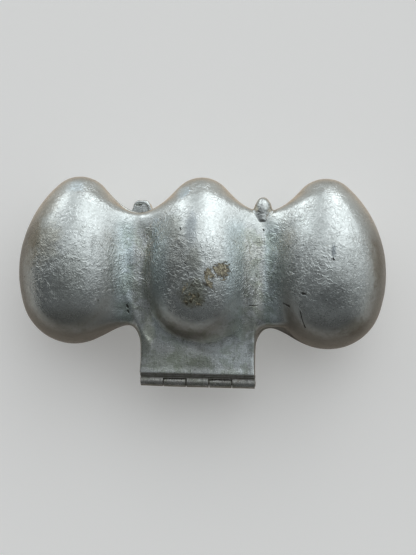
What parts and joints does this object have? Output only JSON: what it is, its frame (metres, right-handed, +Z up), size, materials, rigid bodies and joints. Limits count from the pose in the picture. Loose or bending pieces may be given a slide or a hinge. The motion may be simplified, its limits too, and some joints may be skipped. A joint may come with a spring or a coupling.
{
  "type": "ice cream mould",
  "caption": "Hinged cast pewter mould with egg-shaped cavities in a row. Its halves swing apart on a pinned knuckle hinge to release the moulded ice cream.",
  "frame": {"origin": "on the surface that the closed mould lies on, at the middle of its plan", "axes": "+X along the row of eggs, +Y from the hinge to the eggs' pointed ends, +Z up through the back half and then the front half"},
  "size_m": [0.165, 0.0943, 0.0516],
  "materials": {
    "pewter_front": "old cast pewter, dull silver grey with dark patina",
    "pewter_back": "old cast pewter, dull silver grey with dark patina",
    "pewter_hinge": "cast pewter darkened by handling",
    "pewter_lug": "cast pewter, rubbed bright on top",
    "pin_metal": "dull steel pin with riveted ends"
  },
  "bodies": {
    "back": {"back_half": "pewter_back", "back_hinge_leaf": "pewter_hinge", "back_opening_lug": "pewter_lug"},
    "front": {"front_half": "pewter_front", "front_hinge_leaf": "pewter_hinge", "front_opening_lug": "pewter_lug", "hinge_pin": "pin_metal"}
  },
  "joints": [
    {"name": "mould_hinge", "type": "hinge", "parent": "back", "child": "front", "pos_m": [0, -0.0448, 0.02581], "axis": [1, 0, 0], "range_deg": [0, 180]}
  ]
}
